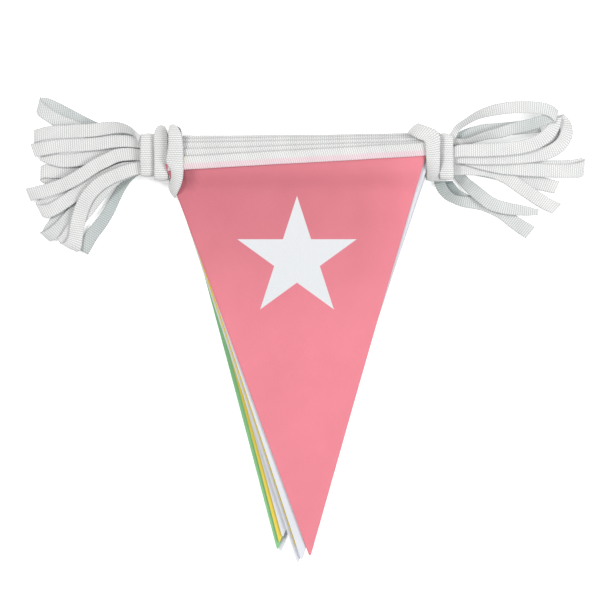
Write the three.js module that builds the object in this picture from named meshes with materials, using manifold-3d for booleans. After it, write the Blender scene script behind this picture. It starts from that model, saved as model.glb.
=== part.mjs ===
// Folded pennant bunting: nine triangular cloth flags in one stack, sewn to one woven tape whose
// spare lengths lie in flattened loops to the left and right, each bundle tied at its neck.
// Millimetres, +Z up. The stack lies face up on z = 0, tips towards -Y, tape along X.

import * as THREE from 'three';
import { mergeVertices } from 'three/addons/utils/BufferGeometryUtils.js';
import Module from 'manifold-3d';

const wasm = await Module();
wasm.setup();

// Driving dimensions
const CLOTH = 1.0; // thickness of one flag
const TAPE = 1.0; // thickness of the tape
const TAPE_WIDTH = 10;
const SEAM = 5; // how far the tape laps over a flag's top edge
const CLEAR = 0.3; // air between neighbouring pieces
const CLOTH_PITCH = CLOTH + CLEAR; // one flag to the next, below the tapes
const BAND_PITCH = CLOTH + TAPE + 2 * CLEAR; // one flag to the next, where the tapes lie between
const FLAG_COUNT = 9;
const FRONT_GROUP = 4; // the four upper flags lean right, past the five lower ones
const TIP_ROUND = 3; // where a flag's point starts to round off
const EDGE_HOLLOW = 0.5; // how far a flag's long edges bow inwards
const TIE_LIFT = 1.6; // flags are this far up where a tie passes below them

// Heights above the floor of the stacked flags
const EDGE_LEVEL = 105; // where the flag table measures the edges
const BAND_START = 80; // the flags spread apart from here ...
const BAND_FULL = 101; // ... to here, to make room for the tapes
const LIFT_LEFT = { start: -70, full: -86 };
const LIFT_RIGHT = { start: 60, full: 77 };
const SWELL = 0.16; // soft unevenness added to each layer
const SAG = { from: 12, to: 32 }; // the upper flags sink where none lie below
const GRID_X = [-106, -86, -66, -44, -22, 0, 22, 44, 60, 77, 92, 108];
const GRID_Y = [-202, -170, -140, -110, -80, -50, -20, 10, 40, 62, 80, 101, 132];

// Where the tapes stop inside the ties, and the loops start
const LEFT_END = -98.7;
const RIGHT_END = 104.7;
const BAND_LEFT = -87;
const BAND_RIGHT = 92;

const COLOURS = {
  pink: 0xe8808e,
  white: 0xeeeff4,
  yellow: 0xeed75a,
  green: 0x84c487,
  tape: 0xeceae6,
};

// Flags from the front of the stack to the back. left and right are where the long edges cross
// y = EDGE_LEVEL; tapeLeft and tapeRight are the heights of the tape's top edge at the band's ends.
const FLAGS = [
  { colour: 'pink', tipX: 7.5, tipY: -193.2, left: -102.2, right: 93.3, tapeLeft: 107.2, tapeRight: 117.5 },
  { colour: 'white', tipX: 1.2, tipY: -196.3, left: -98.8, right: 97.0, tapeLeft: 112.9, tapeRight: 118.9 },
  { colour: 'yellow', tipX: -2.4, tipY: -186.8, left: -99.8, right: 95.5, tapeLeft: 117.8, tapeRight: 121.5 },
  { colour: 'white', tipX: -0.8, tipY: -198.6, left: -99.2, right: 98.6, tapeLeft: 120.8, tapeRight: 123.4 },
  { colour: 'white', tipX: -8.6, tipY: -178.2, left: -94.3, right: 97.5, tapeLeft: 123.2, tapeRight: 124.9 },
  { colour: 'white', tipX: -13.1, tipY: -179.0, left: -89.8, right: 97.0, tapeLeft: 121.9, tapeRight: 123.8 },
  { colour: 'yellow', tipX: -15.6, tipY: -183.2, left: -91.6, right: 98.0, tapeLeft: 120.0, tapeRight: 124.4 },
  { colour: 'green', tipX: -17.0, tipY: -188.6, left: -95.6, right: 98.0, tapeLeft: 122.4, tapeRight: 122.7 },
  { colour: 'white', tipX: -14.6, tipY: -190.4, left: -92.2, right: 96.5, tapeLeft: 119.3, tapeRight: 121.0 },
];

// Loops of spare tape. A row is one place along the loop, from its root in the tie to its outer
// fold: x and y of the upper strand's centre, the heights of the upper and lower strands, how far
// the lower strand lies beside the upper one, the direction of the tape's width in plan and its
// slope, in degrees, and the width that shows flat. The last row is the fold itself.
const COLUMNS = ['x', 'y', 'top', 'low', 'aside', 'turn', 'tilt', 'wide'];

const LEFT_LOOPS = [
  [
    [-99.2, 118.2, 4.6, 3.1, 0, 90, 0, 8.6],
    [-109, 118.2, 4.6, 3.1, 0, 90, 0, 8.6],
    [-119, 118.4, 4.6, 3.1, 0, 91, 0, 8.6],
    [-134, 120.4, 4.2, 2.7, 2, 93, 0, 9.6],
    [-150, 123, 3.6, 2.1, 4.5, 90, 0, 10],
    [-171, 130.5, 3.6, 1.6, 7, 84, 0, 10],
    [-183.8, 135.8, 3.4, 1.2, 8, 80, 0, 10],
    [-191.5, 140.8, 3.2, 1, 6, 77, 0, 10.4],
    [-197, 145.2, 3.2, 1, 3.5, 76, 0, 11],
  ],
  [
    [-99.2, 118.2, 13.3, 11.8, 0, 90, 0, 8.6],
    [-109, 118.2, 13.3, 11.8, 0, 90, 0, 8.6],
    [-118.6, 119, 14.4, 12.3, 0, 92, 4, 7.2],
    [-122.8, 123.6, 17, 13.2, 0, 102, 36, 6.6],
    [-126.2, 126.6, 16.8, 13.5, 0, 104, 42, 8],
    [-131.5, 128.5, 16.3, 14.1, 0, 98, 38, 8.8],
    [-138, 129.2, 14.8, 12.9, 0, 93, 26, 9.4],
    [-146, 128.6, 12.6, 10.9, 0, 91, 12, 10],
    [-155, 127.4, 10.8, 9.4, 0, 90, 4, 10],
    [-172.5, 126.4, 8.4, 6.9, 0, 90, 0, 10],
    [-191.2, 125.2, 5.2, 3.6, 0, 88, 0, 10],
    [-199.8, 122.8, 4, 1.4, 0, 88, 0, 10],
  ],
  [
    [-99.2, 118.2, 10.4, 8.9, 0, 90, 0, 8.6],
    [-109, 118.2, 10.4, 8.9, 0, 90, 0, 8.6],
    [-119, 118.2, 10.4, 8.9, 0, 90, 0, 8.6],
    [-131.2, 119.2, 9.9, 8.5, 0, 92, 0, 8.8],
    [-142.5, 118.9, 9.3, 7.9, 0, 93, 0, 10],
    [-152.2, 117.4, 8.7, 7.3, 0, 93, 0, 10],
    [-165, 116.4, 8, 6.6, 0, 94, 0, 10],
    [-180, 115.5, 7.6, 6.2, 0, 96, 0, 10],
    [-191.2, 113.8, 7.2, 5.5, 0, 102, 0, 10],
    [-200.5, 112.5, 5.4, 3.6, 0, 110, 0, 10.4],
  ],
  [
    [-99.2, 108.8, 7.5, 6, 0, 90, 0, 8.6],
    [-109, 108.8, 7.5, 6, 0, 90, 0, 8.6],
    [-119, 109.2, 7.5, 6, 0, 91, 0, 8.6],
    [-131.2, 113, 7.1, 5.7, 0, 98, 0, 10],
    [-141, 113.4, 6.6, 5.3, 0, 102, 0, 10],
    [-150, 110.4, 5.6, 4.2, 0, 110, 0, 10],
    [-161.2, 106.5, 5.4, 4, 0, 104, 0, 10],
    [-171, 105, 5.4, 4, 0, 92, 0, 10],
    [-180, 104.8, 5, 3.6, 0, 86, 0, 10],
    [-187.5, 106.9, 4.6, 3.2, 0, 75, 0, 10],
    [-194.2, 109.9, 3.4, 1.2, 0, 72, 0, 10],
  ],
  [
    [-99.2, 108.8, 4.6, 3.1, 0, 90, 0, 8.6],
    [-109, 108.8, 4.6, 3.1, 0, 90, 0, 8.6],
    [-119, 108.8, 4.6, 3.1, 0, 91, 0, 8.6],
    [-135, 107.8, 3.9, 2.5, 0, 103, 0, 10],
    [-150, 102.2, 2.9, 1.5, 0, 112, 0, 10],
    [-161.2, 97.9, 2.4, 1, -1, 104, 0, 10],
    [-175, 96.6, 2.3, 0.9, -3.5, 96, 0, 10],
    [-187.5, 96.6, 2.4, 0.9, -4, 90, 0, 10],
    [-195, 97, 2.9, 0.8, -4, 88, 0, 10],
  ],
  [
    [-99.2, 108.8, 10.4, 8.9, 0, 90, 0, 8.6],
    [-109, 108.8, 10.4, 8.9, 0, 90, 0, 8.6],
    [-119, 108.8, 10.4, 8.9, 0, 92, 0, 8.6],
    [-128, 109.4, 10.3, 8.9, 0, 97, 0, 9.6],
    [-137.2, 108.4, 10.2, 8.8, 0, 106, 0, 10],
    [-145.5, 104.6, 10.4, 9, 0, 116, 0, 10],
    [-153, 100.9, 9.9, 8.5, 0, 119, 0, 10],
    [-163.5, 94.1, 8.9, 7.5, 0, 120, 0, 10],
    [-172.5, 88.9, 8.4, 7, 0, 116, 0, 10],
    [-181.5, 85.1, 5.8, 4.4, 0, 112, 0, 10],
    [-191.2, 82.1, 4.4, 2.6, 0, 108, 0, 10],
    [-204.4, 79.1, 3.2, 1, 0, 112, 0, 10],
  ],
  [
    [-99.2, 99.4, 10.4, 8.9, 0, 90, 0, 8.6],
    [-109, 99.4, 10.4, 8.9, 0, 90, 0, 8.6],
    [-119, 99.4, 10.4, 8.9, 0, 94, 0, 8.6],
    [-131.2, 98.4, 9.2, 7.8, 0, 104, 0, 10],
    [-142.5, 94.6, 8, 6.6, 0, 114, 0, 10],
    [-153.8, 89.2, 6.9, 5.5, 0, 122, 0, 10],
    [-165, 82.3, 5.8, 4.4, 0, 127, 0, 10],
    [-174, 75.6, 5.1, 3.7, 0, 128, 0, 10],
    [-186, 68.2, 4.2, 2.6, 1, 120, 0, 10],
    [-195, 65.8, 3.4, 1.2, 1.5, 117, 0, 10],
  ],
  [
    [-99.2, 99.4, 7.5, 6, 0, 90, 0, 8.6],
    [-109, 99.4, 7.5, 6, 0, 90, 0, 8.6],
    [-118, 99, 7.4, 5.9, 0, 96, 0, 8.6],
    [-125.5, 97.4, 6.9, 5.4, 0, 106, 0, 9.4],
    [-131.2, 95.2, 6.4, 4.9, 0, 112, 0, 10],
    [-144, 89.2, 5, 3.6, 0, 120, 0, 10],
    [-156, 81, 3.7, 2.3, 2.5, 128, 0, 10],
    [-165, 72.4, 2.5, 1.1, 4.6, 134, 0, 10],
    [-172.5, 63, 2.4, 1, 5.5, 136, 0, 10],
    [-180, 54.8, 2.4, 0.9, 5, 136, 0, 10],
    [-186.5, 49.5, 2.8, 1, 3, 137, 0, 10],
    [-191.4, 47, 2.8, 1, 1, 138, 0, 10],
  ],
  [
    [-99.2, 99.4, 13.3, 11.8, 0, 90, 0, 8.6],
    [-109, 99.4, 13.3, 11.8, 0, 90, 0, 8.6],
    [-118, 99, 13.3, 11.8, 0, 96, 0, 8.6],
    [-125.5, 97.8, 12.9, 11.5, 0, 104, 0, 9.4],
    [-131.2, 96, 12.4, 11, 0, 108, 0, 10],
    [-142.5, 91.4, 11.2, 9.8, 0, 118, 0, 10],
    [-151.5, 85.9, 10, 8.6, -1, 128, 0, 10.4],
    [-159, 78, 8.6, 7, -3, 142, 0, 10.6],
    [-164.2, 67.5, 6.8, 5.2, -6.5, 162, 0, 11],
    [-167.2, 56.2, 6, 4.5, -6, 172, 0, 11],
    [-168.8, 46.5, 5.3, 3.9, -4, 166, 0, 11],
    [-171.4, 38.2, 5.4, 3.2, -2, 152, 0, 11.6],
  ],
  [
    [-99.2, 99.4, 4.6, 3.1, 0, 90, 0, 8.6],
    [-108, 99.4, 4.6, 3.1, 0, 90, 0, 8.6],
    [-114.5, 99.4, 4.6, 3.1, 0, 92, 0, 8.6],
    [-119.8, 98.9, 4.5, 3, 0, 96, 0, 8.6],
    [-126, 96, 3.9, 2.4, 0, 108, 0, 9.4],
    [-130.2, 91.2, 3.3, 1.8, 0, 126, 0, 7.6],
    [-134.8, 83.8, 2.5, 1.1, 0, 144, 0, 6.8],
    [-139.4, 75.4, 2.2, 0.8, 0, 154, 0, 7.4],
    [-143.4, 67.4, 2, 0.7, 0, 154, 0, 8.2],
    [-150, 57.4, 1.9, 0.6, 0, 150, 0, 9.4],
    [-156.8, 48.8, 1.9, 0.6, 0, 149, 0, 10],
    [-162.2, 39.4, 2.4, 0.6, 0, 149, 0, 10],
  ],
];

const RIGHT_LOOPS = [
  [
    [105.2, 117.4, 13.3, 11.8, 0, 90, 0, 8.6],
    [110.4, 118.2, 13.5, 12, 0, 96, 4, 7.6],
    [114.6, 123.2, 14.2, 11.6, -5.4, 116, 8, 6.2],
    [117.8, 128.6, 14.8, 11.6, -12.4, 127, 40, 6],
    [124.4, 133.4, 14.9, 11.4, -14.6, 120, 50, 7],
    [133.6, 138.5, 14.8, 10.9, -16.4, 112, 44, 8],
    [146.2, 142.3, 14.4, 10.4, -17.2, 103, 28, 9],
    [159, 144.2, 13.8, 10.2, -15.6, 95, 12, 9],
    [172.5, 144.4, 13.2, 10.4, -13, 88, 4, 9.2],
    [185, 142.8, 12.8, 10.8, -8, 80, 0, 9.2],
    [192.6, 138.6, 12.7, 10.6, -3, 71, 0, 8.8],
  ],
  [
    [105.2, 117.4, 7.5, 6, 0, 90, 0, 8.6],
    [112, 117.8, 7.5, 6, 0, 92, 0, 8.6],
    [118, 120.6, 7.4, 5.9, 0, 100, 0, 9],
    [127.5, 124.4, 7.1, 5.7, 0, 104, 0, 10],
    [138.8, 126.9, 6.8, 5.4, 0, 101, 0, 10],
    [150, 128, 6.6, 5.2, 0, 98, 0, 10],
    [165, 129.4, 6.4, 4.9, 0, 97, 0, 10],
    [180, 130.8, 6.5, 4.4, 0, 97, 0, 10],
  ],
  [
    [105.2, 107.6, 16.2, 14.7, 0, 90, 0, 8.6],
    [111, 108.4, 16.2, 14.7, 0, 90, 0, 8.6],
    [117, 111.2, 16.2, 14.7, 0, 90, 0, 8.8],
    [135, 112.2, 15, 13.5, 0, 90, 0, 10],
    [150, 112.9, 13.6, 12.1, 0, 92, 0, 10],
    [165, 114.6, 12, 10.6, 0, 98, 0, 10],
    [176.2, 117.8, 10.8, 9.4, 0, 112, 0, 10],
    [184.5, 122.8, 9.8, 8.4, 0, 131, 0, 10],
    [189.8, 129.4, 9.2, 7.9, 0, 158, 0, 9.6],
    [192, 137, 9.4, 7.3, 0, 174, 0, 9.2],
  ],
  [
    [105.2, 107.6, 13.3, 11.8, 0, 90, 0, 8.6],
    [112, 107.4, 13.3, 11.8, 0, 90, 0, 8.6],
    [118, 107, 13.1, 11.6, 0, 90, 0, 9],
    [130, 106.6, 12.3, 10.8, 0, 90, 0, 10],
    [142.5, 106.5, 11.3, 9.9, 0, 90, 0, 10],
    [155, 106.8, 10.3, 8.9, 1.5, 90, 0, 10],
    [168, 107.6, 8.8, 7.4, 4, 92, 0, 10],
    [180, 109.2, 7.6, 6.1, 6, 98, 2, 10],
    [189.8, 112.4, 6.8, 5.1, 7, 113, 5, 10],
    [196.6, 117.8, 6, 4, 7.5, 132, 8, 10],
    [200, 124.8, 5.6, 3.5, 7.5, 157, 8, 10],
    [199, 131.6, 5.2, 3.3, 6, 180, 5, 10],
    [194, 138, 5.3, 2.8, 2, 200, 0, 10],
  ],
  [
    [105.2, 107.6, 10.4, 8.9, 0, 90, 0, 8.6],
    [112, 107.4, 10.3, 8.9, 0, 90, 0, 8.6],
    [118, 106.8, 10.1, 8.7, 0, 88, 0, 8.6],
    [126, 105.3, 9.8, 8.4, 0, 84, 0, 9],
    [135, 103.1, 9.1, 7.7, 0, 83, 0, 10],
    [150, 99.8, 7.9, 6.5, 0, 84, 0, 10],
    [161, 98.7, 7.3, 5.9, 0.4, 86, 0, 10],
    [172.5, 97.9, 6.6, 5.2, 1, 87, 0, 10],
    [195, 96.9, 5.5, 4.1, 3, 88, 0, 10],
    [205, 97.2, 4.6, 2.8, 3, 85, 0, 11],
    [213.4, 98.2, 3.8, 1.3, 3, 83, 0, 12],
  ],
  [
    [105.2, 97.8, 7.5, 6, 0, 90, 0, 8.6],
    [112, 97.8, 7.4, 6, 0, 89, 0, 8.6],
    [116.5, 97.8, 6.7, 5.3, 0, 89, 0, 8],
    [121, 98.2, 5.4, 4, 0, 89, 0, 7],
    [124.5, 98.6, 4.5, 3.2, 0, 88, 0, 7],
    [130, 98.4, 3.4, 2.1, 0, 86, 0, 8.8],
    [138, 97.4, 2.8, 1.5, 0, 82, 0, 10],
    [150, 95, 2.4, 1.1, 0, 80, 0, 10],
    [165, 91.2, 2.2, 0.8, 0, 77, 0, 10],
    [180, 87.8, 2.2, 0.8, 0, 72, 0, 10],
    [193, 84.7, 2.9, 0.8, 0, 66, 0, 10],
  ],
  [
    [105.2, 97.8, 10.4, 8.9, 0, 90, 0, 8.6],
    [112, 97.8, 10.4, 8.9, 0, 90, 0, 8.6],
    [116.5, 97.6, 9.6, 8.2, 0, 90, 0, 8.2],
    [121, 97.5, 8, 6.6, 0, 89, 0, 7.4],
    [124.5, 97.7, 6.9, 5.6, 0, 88, 0, 7.4],
    [131, 98.3, 6.1, 4.8, 0, 86, 0, 9.2],
    [143, 97, 5.5, 4.2, 0, 77, 0, 10],
    [153.6, 93.2, 5, 3.7, 0, 63, 0, 10],
    [162.6, 87.2, 4.6, 3.3, 0, 55, 0, 10],
    [173.4, 79.8, 4.7, 3.4, 0, 55, 0, 10],
    [184, 73, 3.8, 2.1, 0, 53, 0, 10],
    [193.2, 68.6, 3, 1, 0, 48, 0, 10],
  ],
  [
    [105.2, 97.8, 4.6, 3.1, 0, 90, 0, 8.6],
    [111.5, 97.8, 4.5, 3.1, 0, 88, 0, 8.6],
    [116, 96.6, 3.8, 2.4, 0, 78, 0, 8.2],
    [121, 91.8, 2.2, 0.8, 0, 54, 0, 8],
    [124.8, 87.8, 2.4, 0.9, 0, 48, 0, 8.6],
    [129.4, 83.6, 5.4, 4, 0, 47, 0, 9.6],
    [135.8, 78, 7.6, 6.2, 0, 48, 0, 10],
    [144, 72.2, 7, 5.6, 0, 58, 0, 10],
    [153.8, 69.2, 6.2, 4.8, 0, 76, 0, 9.4],
    [165, 67.6, 5, 3.6, 0, 84, 0, 8],
    [173, 66.6, 3.8, 2.4, 0, 86, 0, 6.4],
    [179, 66, 3.1, 1, 0, 86, 0, 4.8],
  ],
  [
    [105.4, 87.2, 5.6, 5.6, 5.6, 10, 34, 9.6],
    [107.8, 82.4, 5.4, 5.4, 5.8, 20, 36, 9.6],
    [111.6, 78.2, 5.2, 5.2, 5.4, 38, 46, 9.6],
    [116, 75.8, 4.9, 4.7, 4.6, 60, 50, 9.2],
    [121.8, 74.2, 4.6, 3.2, 2.6, 78, 30, 8.8],
    [129, 73, 2.9, 1.1, 1, 84, 6, 8.4],
    [137, 71.8, 2.2, 0.8, 0.4, 78, 0, 9],
    [145, 69.2, 2.1, 0.7, 0, 66, 0, 10],
    [152.4, 65.4, 2.1, 0.7, 0, 57, 0, 10],
    [161, 58.6, 2.1, 0.7, 0, 52, 0, 10],
    [173, 50.8, 2.8, 0.9, 0, 51, 0, 11],
  ],
];

// The ties. A row is one place along the tape: its centre, its width's direction and what shows.
// A ring of the given reach goes once round the neck; the tape moves on to the next at the bottom.
// On its north side a ring stands up by its peak, and its right edge draws in by its slip.
const TIE_COLUMNS = ['x', 'y', 'z', 'turn', 'wide'];
const RINGS = {
  leftOuter: { x: -114.6, south: 92.6, north: 124.6, low: 0.6, high: 17.4, peak: 0, wide: 9.6, slip: 0 },
  leftInner: { x: -104.8, south: 89.6, north: 125.6, low: 0.6, high: 20.6, peak: 5, wide: 8.8, slip: 0 },
  right: { x: 110, south: 90.2, north: 124.6, low: 0.6, high: 20.4, peak: 0, wide: 9.4, slip: 3.8 },
};
const RING_SQUARENESS = 6;
const RING_STEPS = 20;

// The last, slack turn on the left: up behind the band, over its front and round the flags' edge
const LEFT_SLACK = [
  [-95.6, 116, 0.6, 0, 9.6],
  [-93.6, 124, 0.6, 0, 9],
  [-93.2, 129.2, 4, 0, 7],
  [-94.8, 131.2, 13, 0, 4.5],
  [-94.6, 130.2, 23, 0, 5.8],
  [-93.6, 124.6, 27.6, 0, 9.6],
  [-93, 114, 27.2, 0, 10.6],
  [-92.6, 103, 26.4, -4, 10],
  [-91.6, 95.4, 24.6, -14, 7.8],
  [-92.7, 89.6, 21.8, -32, 9.2],
  [-95.1, 84, 17, -48, 9.6],
  [-96.6, 79.8, 9, -60, 9.4],
  [-95.8, 84.2, 2.2, -56, 9.6],
  [-94.2, 90, 0.6, -40, 9.4],
];

// The last turn on the right: its fold over the band's top edge stands up as a flap
const RIGHT_FLAP = [
  [93.4, 112, 0.6, 14, 9.6],
  [88.6, 122, 0.6, 34, 9.6],
  [85.4, 128.4, 4, 42, 10],
  [84.2, 129.4, 13, 42, 10.6],
  [85, 128.4, 22, 42, 11.2],
  [90.4, 125.2, 27.4, 53, 11.4],
  [98, 121, 27.8, 32, 12.8],
  [98.8, 112, 27.2, 10, 11],
  [99, 104, 26.2, 2, 10.2],
  [99.3, 97, 22.2, 0, 9.6],
  [99.4, 91, 14.6, 0, 9.6],
  [99.4, 89.4, 6.6, 0, 9.6],
  [99.4, 92.4, 0.8, 0, 9.6],
];

const named = (columns, row) => Object.fromEntries(columns.map((column, i) => [column, row[i]]));
const radians = THREE.MathUtils.degToRad;
const rampUp = (value, start, full) => {
  const t = THREE.MathUtils.clamp((value - start) / (full - start), 0, 1);
  return t * t * (3 - 2 * t);
};

// Height of the tape's top edge on a flag, which runs straight from one end of the band to the other
function tapeTop(flag, x) {
  return flag.tapeLeft + ((flag.tapeRight - flag.tapeLeft) * (x - BAND_LEFT)) / (BAND_RIGHT - BAND_LEFT);
}

// How far a place lies to the right of the lower flags, whose longest is the green one
function pastLowerFlags(x, y) {
  const green = FLAGS[7];
  const edge = new THREE.Vector2(green.right - green.tipX, EDGE_LEVEL - green.tipY).normalize();
  return edge.y * (x - green.tipX) - edge.x * (y - green.tipY);
}

// Underside of the flag that has so many flags below it
function flagHeight(below, x, y) {
  const lift = Math.max(rampUp(x, LIFT_LEFT.start, LIFT_LEFT.full), rampUp(x, LIFT_RIGHT.start, LIFT_RIGHT.full));
  const spread = (BAND_PITCH - CLOTH_PITCH) * rampUp(y, BAND_START, BAND_FULL);
  const swell = SWELL * (1 + Math.sin(x / 34 - y / 60)) * (1 - rampUp(y, 40, BAND_START));
  const upper = below >= FLAG_COUNT - FRONT_GROUP;
  const sink = upper ? (FLAG_COUNT - FRONT_GROUP) * rampUp(pastLowerFlags(x, y), SAG.from, SAG.to) : 0;
  const sag = sink * CLOTH_PITCH * (1 - rampUp(y, 0, 60));
  return TIE_LIFT * lift * rampUp(y, 20, 60) + below * (CLOTH_PITCH + spread + swell) - sag;
}

// Closed mesh from rings of points, each joined to the next, with the first and last ring capped
function joinRings(rings) {
  const sides = rings[0].length;
  const position = rings.flat().flatMap((point) => [point.x, point.y, point.z]);
  const index = [];
  for (let ring = 0; ring < rings.length - 1; ring++) {
    for (let side = 0; side < sides; side++) {
      const a = ring * sides + side;
      const b = ring * sides + ((side + 1) % sides);
      index.push(a, b, b + sides, a, b + sides, a + sides);
    }
  }
  const last = (rings.length - 1) * sides;
  for (let side = 1; side < sides - 1; side++) {
    index.push(0, side + 1, side, last, last + side, last + side + 1);
  }
  const geometry = new THREE.BufferGeometry();
  geometry.setAttribute('position', new THREE.Float32BufferAttribute(position, 3));
  geometry.setIndex(index);
  return facingOut(geometry);
}

// Turns a closed mesh right side out
function facingOut(geometry) {
  const position = geometry.getAttribute('position');
  const index = geometry.getIndex();
  const [a, b, c] = [new THREE.Vector3(), new THREE.Vector3(), new THREE.Vector3()];
  let volume = 0;
  for (let i = 0; i < index.count; i += 3) {
    a.fromBufferAttribute(position, index.getX(i));
    b.fromBufferAttribute(position, index.getX(i + 1));
    c.fromBufferAttribute(position, index.getX(i + 2));
    volume += a.dot(b.cross(c));
  }
  if (volume < 0) {
    index.array.reverse();
  }
  return geometry;
}

// Ribbon of the tape through a list of sections: centre, width direction and width
function ribbon(sections, stepsPerSection) {
  const centres = new THREE.CatmullRomCurve3(sections.map((s) => s.centre), false, 'centripetal');
  const acrosses = new THREE.CatmullRomCurve3(sections.map((s) => s.across), false, 'catmullrom', 0.5);
  const steps = (sections.length - 1) * stepsPerSection;
  const rings = [];
  for (let i = 0; i <= steps; i++) {
    const along = i / steps;
    const centre = centres.getPoint(along);
    const across = acrosses.getPoint(along).normalize();
    const normal = centres.getTangent(along).cross(across).normalize();
    const place = Math.min(along * (sections.length - 1), sections.length - 1 - 1e-6);
    const before = sections[Math.floor(place)];
    const after = sections[Math.floor(place) + 1];
    const half = THREE.MathUtils.lerp(before.wide, after.wide, place % 1) / 2;
    rings.push(
      [[-half, -TAPE / 2], [half, -TAPE / 2], [half, TAPE / 2], [-half, TAPE / 2]].map(([w, t]) =>
        centre.clone().addScaledVector(across, w).addScaledVector(normal, t),
      ),
    );
  }
  return joinRings(rings);
}

function widthDirection(turn, tilt = 0) {
  const flat = Math.cos(radians(tilt));
  return new THREE.Vector3(
    flat * Math.cos(radians(turn)),
    flat * Math.sin(radians(turn)),
    Math.sin(radians(tilt)),
  );
}

// A loop of tape: out along its upper strand, round the fold and back along its lower strand
const FOLD_DEPTH = 2.6; // the strands start to curve this far before the fold's outer edge

function loop(rowValues) {
  const rows = rowValues.map((row) => named(COLUMNS, row));
  const fold = rows.pop();
  const previous = rows[rows.length - 1];
  const heading = new THREE.Vector2(fold.x - previous.x, fold.y - previous.y).normalize();
  rows.push({ ...fold, x: fold.x - heading.x * FOLD_DEPTH, y: fold.y - heading.y * FOLD_DEPTH });
  const across = (row) => widthDirection(row.turn, row.tilt);
  const upper = rows.map((row) => ({
    centre: new THREE.Vector3(row.x, row.y, row.top),
    across: across(row),
    wide: row.wide,
  }));
  const outer = {
    centre: new THREE.Vector3(fold.x, fold.y, (fold.top + fold.low) / 2).addScaledVector(across(fold), fold.aside / 2),
    across: across(fold),
    wide: fold.wide,
  };
  const lower = rows.reverse().map((row) => {
    const aside = across({ ...row, tilt: 0 }).multiplyScalar(row.aside);
    return { centre: new THREE.Vector3(row.x, row.y, row.low).add(aside), across: across(row), wide: row.wide };
  });
  return ribbon([...upper, outer, ...lower], 2);
}

// One ring of a tie, from its bottom round its north side, its top and its south side
function ringSections(ring, startAngle, endAngle) {
  const middle = new THREE.Vector2((ring.north + ring.south) / 2, (ring.high + ring.low) / 2);
  const reach = new THREE.Vector2((ring.north - ring.south) / 2, (ring.high - ring.low) / 2);
  const squared = (value) => Math.sign(value) * Math.abs(value) ** (2 / RING_SQUARENESS);
  const sections = [];
  for (let step = 0; step <= RING_STEPS; step++) {
    const angle = radians(THREE.MathUtils.lerp(startAngle, endAngle, step / RING_STEPS));
    const northness = Math.max(0, Math.cos(angle)) ** 6;
    sections.push({
      centre: new THREE.Vector3(
        ring.x - (ring.slip / 2) * northness,
        middle.x + reach.x * squared(Math.cos(angle)) + ring.peak * northness,
        middle.y + reach.y * squared(Math.sin(angle)),
      ),
      across: widthDirection(0),
      wide: ring.wide - (ring.peak + ring.slip) * northness,
    });
  }
  return sections;
}

function tieSections(rows) {
  return rows.map((row) => {
    const { x, y, z, turn, wide } = named(TIE_COLUMNS, row);
    return { centre: new THREE.Vector3(x, y, z), across: widthDirection(turn), wide };
  });
}

// Slab that follows one flag's height, to be cut to an outline
function layer(below, rise, thickness) {
  const columns = GRID_X.length;
  const rows = GRID_Y.length;
  const position = [];
  for (const height of [rise, rise + thickness]) {
    for (const y of GRID_Y) {
      for (const x of GRID_X) {
        position.push(x, y, flagHeight(below, x, y) + height);
      }
    }
  }
  const at = (side, row, column) => side * columns * rows + row * columns + column;
  const index = [];
  const square = (a, b, c, d) => index.push(a, b, c, a, c, d);
  for (let row = 0; row < rows - 1; row++) {
    for (let column = 0; column < columns - 1; column++) {
      square(at(0, row, column), at(0, row + 1, column), at(0, row + 1, column + 1), at(0, row, column + 1));
      square(at(1, row, column), at(1, row, column + 1), at(1, row + 1, column + 1), at(1, row + 1, column));
    }
  }
  for (let column = 0; column < columns - 1; column++) {
    square(at(0, 0, column), at(0, 0, column + 1), at(1, 0, column + 1), at(1, 0, column));
    square(at(0, rows - 1, column), at(1, rows - 1, column), at(1, rows - 1, column + 1), at(0, rows - 1, column + 1));
  }
  for (let row = 0; row < rows - 1; row++) {
    square(at(0, row, 0), at(1, row, 0), at(1, row + 1, 0), at(0, row + 1, 0));
    square(at(0, row, columns - 1), at(0, row + 1, columns - 1), at(1, row + 1, columns - 1), at(1, row, columns - 1));
  }
  return toSolid(position, index);
}

function toSolid(position, index) {
  return new wasm.Manifold(
    new wasm.Mesh({ numProp: 3, vertProperties: new Float32Array(position), triVerts: new Uint32Array(index) }),
  );
}

// Upright block with the given outline, taller than the whole stack
function cutter(outline) {
  const block = new THREE.ExtrudeGeometry(outline, { depth: 60, bevelEnabled: false, curveSegments: 3 });
  block.translate(0, 0, -5);
  block.deleteAttribute('normal');
  block.deleteAttribute('uv');
  const merged = mergeVertices(block);
  return toSolid(merged.getAttribute('position').array, merged.getIndex().array);
}

function toGeometry(solid) {
  const mesh = solid.getMesh();
  const geometry = new THREE.BufferGeometry();
  geometry.setAttribute('position', new THREE.Float32BufferAttribute(mesh.vertProperties, 3));
  geometry.setIndex(Array.from(mesh.triVerts));
  return geometry;
}

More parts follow.
